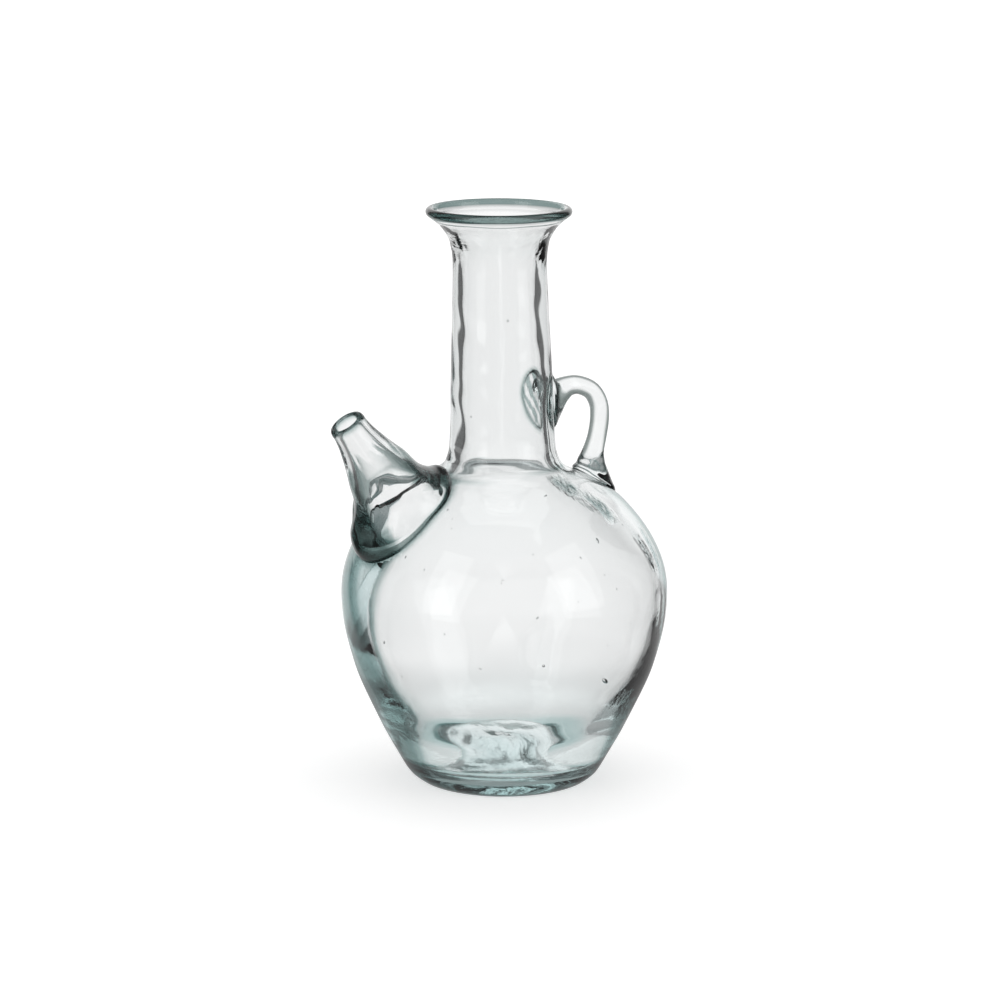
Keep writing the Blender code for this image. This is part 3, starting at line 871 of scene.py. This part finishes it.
def dress_plain(item, edge_shade_shift, light):
    """Store the same values on a piece without prints, whose skin is fused where it was made so."""
    store(item, "edge_shade_shift", edge_shade_shift)
    store(item, "prints", np.zeros_like(light))
    store_shade_and_tone(item, light)


def dress_spout(item):
    points = axis_points(item)
    local = points - SPOUT_MOUTH
    depth = -(local @ SPOUT_AXIS)
    uphill = local @ SPOUT_UP + 3 * (uneven(points, 2.2) - 0.5)
    # painted shade: darker round the mouth's rim, and two dark patches low on the tube, on its upper and
    # lower sides
    light = darken(0.75, bump(depth, 0.3, 1.5))
    light *= darken(0.8, ramp(depth, 15.0, 18.0) * ramp(uphill, 11.5, 14.0))
    light *= darken(0.8, ramp(depth, 17.0, 20.0) * ramp(-uphill, 13.5, 16.0))
    # the painted edge shade is weaker near the mouth and broken by clearer stripes low on the tube
    around_tube = np.arctan2(local @ SIDE, local @ SPOUT_UP)
    slits = ramp(np.sin(9*around_tube + 0.35*depth), 0.35, 0.6) * bump(depth, 15.0, 5.0)
    dress_plain(item, -0.22 * (1 - ramp(depth, 12.0, 18.0)) - 0.45*slits, light)


def dress_handle(item):
    points = axis_points(item)
    from_eye = np.hypot(points[:, 0] - LOOP_EYE[0], points[:, 2] - LOOP_EYE[1])
    # painted edge shade: deeper near the loop's eye, lighter further from it
    dress_plain(item, 0.05 + 0.12 * (1 - 2*ramp(from_eye, 12.0, 17.0)), np.ones(len(points)))


def dress_scar(item):
    count = len(item.data.vertices)
    dress_plain(item, np.zeros(count), np.full(count, 0.98))


# ---------------------------------------------------------------- pieces

def finish_piece(item, dress, material, nodes):
    """Give a piece its stored values and its glass, attach it to the root body, and hide the CAD parts that
    it stands for.
    """
    dress(item)
    item.data.materials.clear()
    item.data.materials.append(material)
    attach(item, "root")
    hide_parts(*nodes)


finish_piece(vessel(), dress_vessel, glass("vessel_glass", 1.36, EDGE_SHADE, ripple=0.00012),
             ("body", "neck", "lip"))
finish_piece(spout(), dress_spout, glass("spout_glass", 1.18, ROD_EDGE_SHADE), ("spout",))
finish_piece(handle(), dress_handle, glass("handle_glass", 1.10, ROD_EDGE_SHADE), ("handle",))
finish_piece(scar(), dress_scar,
             glass("pontil_glass", 1.24, ROD_EDGE_SHADE, ripple=0.0004, grain=0.0001, rough=0.22),
             ("pontil_scar",))

# ---------------------------------------------------------------- studio

FLOOR_REACH = 6.0                   # metres
FLOOR_SIDES = 96
FLOOR_DROP = 0.0002                 # metres that the floor lies under the bottle
FLOOR_GLOW = 0.84                   # light of the plain pale floor
FLOOR_LIT = 0.30                    # what the lamps add to it under the bottle
LAMP_REACH = 1.7                    # metres from the bottle at which they add nothing
FLOOR_PAINT = 0.8
FLOOR_CLEAR = (0.76, 0.99)          # the floor as clear glass shows it, close by and far off
CLEAR_REACH = (0.05, 0.20)          # metres between those two
MIRROR_STRIP = 0.82                 # its bright strip behind the bottle as mirror paths show it
FLOOR_DIM = 0.10                    # the rest of it, out to the sides
FOOT_GLOW = 0.36                    # and close round the bottle
FLOOR_STRIP = (0.52, 0.72)          # half width of that strip, as a slope
FOOT_SHADE = (0.12, 0.28)           # metres from the bottle over which the foot's glow gives way
STRIP_FROM = 0.20                   # metres before the bottle from which that slope runs
STRIP_LEAST = 0.05                  # metres, so that the slope stays finite
BACKDROP_GLOW = 1.0
BACKDROP_TURN = (31.0, 40.0)        # degrees off the camera's line over which the backdrop fades
BACKDROP_RISE = (22.0, 42.0)        # and its elevation
ROOM_GLOW = 0.20                    # the room as mirror paths show it
ROOM_CLEAR = 0.90                   # and as clear glass shows it
CEILING_CLEAR = 0.26
FRONT_GLOW = 0.42                   # the room behind the camera
FRONT_TURN = (80.0, 125.0)
LAMP_AIM = 0.11                     # metres up the bottle
LOOK = (-math.cos(CAMERA_TURN), -math.sin(CAMERA_TURN))     # level direction that the stage faces

# light paths long enough to cross every skin of the glass
scene = bpy.context.scene
scene.view_settings.view_transform = "Standard"
scene.cycles.max_bounces = 24
scene.cycles.transmission_bounces = 24
scene.cycles.glossy_bounces = 12
scene.cycles.diffuse_bounces = 3
scene.cycles.caustics_refractive = True
scene.cycles.sample_clamp_indirect = 8.0


def along_look(tree, vector):
    """Distance ahead, distance aside and height of a direction or place, as the stage faces."""
    outputs = []
    for axis in ((LOOK[0], LOOK[1], 0.0), (LOOK[1], -LOOK[0], 0.0), (0.0, 0.0, 1.0)):
        dot = new_node(tree, "ShaderNodeVectorMath", operation="DOT_PRODUCT")
        dot.inputs[1].default_value = axis
        tree.links.new(vector, dot.inputs[0])
        outputs.append(dot.outputs["Value"])
    return outputs


def seen_by(tree, direct, clear, mirrored):
    """Light of the studio for the eye, for paths straight through clear glass, and for mirror paths."""
    path = new_node(tree, "ShaderNodeLightPath")
    bounced = math_node(tree, "MINIMUM", path.outputs["Glossy Depth"], 1.0)
    through = blend_values(tree, bounced, clear, mirrored)
    return blend_values(tree, path.outputs["Is Camera Ray"], through, direct)


def floor_paint_and_glow():
    """Paint and glow of the floor: plain and pale to the eye; the glass sees its glow bright behind the
    bottle and dark out to the sides.
    """
    paint = bpy.data.materials.new("floor_paint_and_glow")
    paint.use_nodes = True
    tree = paint.node_tree
    shader = tree.nodes["Principled BSDF"]
    shader.inputs["Roughness"].default_value = 1.0
    shader.inputs["Specular IOR Level"].default_value = 0.0
    shader.inputs["Emission Color"].default_value = (1.0, 1.0, 1.0, 1.0)
    place = new_node(tree, "ShaderNodeTexCoord").outputs["Object"]
    length = new_node(tree, "ShaderNodeVectorMath", operation="LENGTH")
    tree.links.new(place, length.inputs[0])
    from_bottle = length.outputs["Value"]

    lamps = fade(tree, from_bottle, 0.0, LAMP_REACH)
    direct = math_node(tree, "SUBTRACT", FLOOR_GLOW, math_node(tree, "MULTIPLY", lamps, FLOOR_LIT))

    clear = blend_values(tree, fade(tree, from_bottle, *CLEAR_REACH), FLOOR_CLEAR[1], FLOOR_CLEAR[0])

    ahead, across, _ = along_look(tree, place)
    beyond = math_node(tree, "MAXIMUM", math_node(tree, "ADD", ahead, STRIP_FROM), STRIP_LEAST)
    slope = math_node(tree, "DIVIDE", math_node(tree, "ABSOLUTE", across), beyond)
    strip = blend_values(tree, fade(tree, slope, *FLOOR_STRIP), FLOOR_DIM, MIRROR_STRIP)
    off_foot = math_node(tree, "SUBTRACT", 1.0, fade(tree, from_bottle, *FOOT_SHADE))
    mirrored = blend_values(tree, off_foot, FOOT_GLOW, strip)

    tree.links.new(seen_by(tree, direct, clear, mirrored), shader.inputs["Emission Strength"])
    eye = new_node(tree, "ShaderNodeLightPath").outputs["Is Camera Ray"]
    tree.links.new(map_range(tree, eye, 0.0, 1.0, 0.0, FLOOR_PAINT), shader.inputs["Base Color"])
    return paint


def lay_floor():
    mesh = bpy.data.meshes.new("floor")
    rim = [(FLOOR_REACH*math.cos(a), FLOOR_REACH*math.sin(a), 0.0) for a in turns(FLOOR_SIDES)]
    faces = [(0, k + 1, (k + 1) % FLOOR_SIDES + 1) for k in range(FLOOR_SIDES)]
    mesh.from_pydata([(0.0, 0.0, 0.0)] + rim, [], faces)
    mesh.materials.append(floor_paint_and_glow())
    floor = bpy.data.objects.new("floor", mesh)
    scene.collection.objects.link(floor)
    floor.location = (AXIS_X*MM, AXIS_Y*MM, -FLOOR_DROP)


def hang_backdrop():
    """The world: bright behind the bottle, and in mirror paths dark overhead and to the sides."""
    world = bpy.data.worlds.new("studio")
    scene.world = world
    world.use_nodes = True
    tree = world.node_tree
    sky = tree.nodes["Background"]
    sky.inputs["Color"].default_value = (1.0, 1.0, 1.0, 1.0)
    ahead, across, upward = along_look(tree, new_node(tree, "ShaderNodeTexCoord").outputs["Generated"])
    off_look = math_node(tree, "ABSOLUTE", math_node(tree, "ARCTAN2", across, ahead))
    lowness = fade(tree, upward, *np.sin(np.radians(BACKDROP_RISE)).tolist())
    panel = math_node(tree, "MULTIPLY", fade(tree, off_look, *np.radians(BACKDROP_TURN).tolist()), lowness)
    front = math_node(tree, "SUBTRACT", 1.0, fade(tree, off_look, *np.radians(FRONT_TURN).tolist()))
    mirrored = math_node(tree, "MULTIPLY_ADD", panel, BACKDROP_GLOW - ROOM_GLOW, ROOM_GLOW)
    mirrored = math_node(tree, "MULTIPLY_ADD", front, FRONT_GLOW - ROOM_GLOW, mirrored)
    clear = blend_values(tree, lowness, CEILING_CLEAR, ROOM_CLEAR)
    tree.links.new(seen_by(tree, BACKDROP_GLOW, clear, mirrored), sky.inputs["Strength"])


def softbox(name, turn, reach, height, wide, tall, power):
    """Area light facing the bottle, at an angle about its axis measured from the camera's side."""
    data = bpy.data.lights.new(name, "AREA")
    data.shape = "RECTANGLE"
    data.size = wide
    data.size_y = tall
    data.energy = power
    item = bpy.data.objects.new(name, data)
    scene.collection.objects.link(item)
    angle = CAMERA_TURN + math.radians(turn)
    spot = Vector((AXIS_X*MM + reach*math.cos(angle), AXIS_Y*MM + reach*math.sin(angle), height))
    item.location = spot
    item.rotation_euler = (spot - Vector((0, 0, LAMP_AIM))).to_track_quat("Z", "Y").to_euler()
    return item


lay_floor()
hang_backdrop()
softbox("softbox_left", -46.0, 1.3, 0.62, 0.6, 1.4, 2.4)
softbox("softbox_right", 58.0, 1.3, 0.62, 0.75, 1.4, 2.8)
overhead = softbox("softbox_over", 180.0, 0.25, 1.25, 1.0, 1.0, 3.4)
overhead.visible_glossy = False
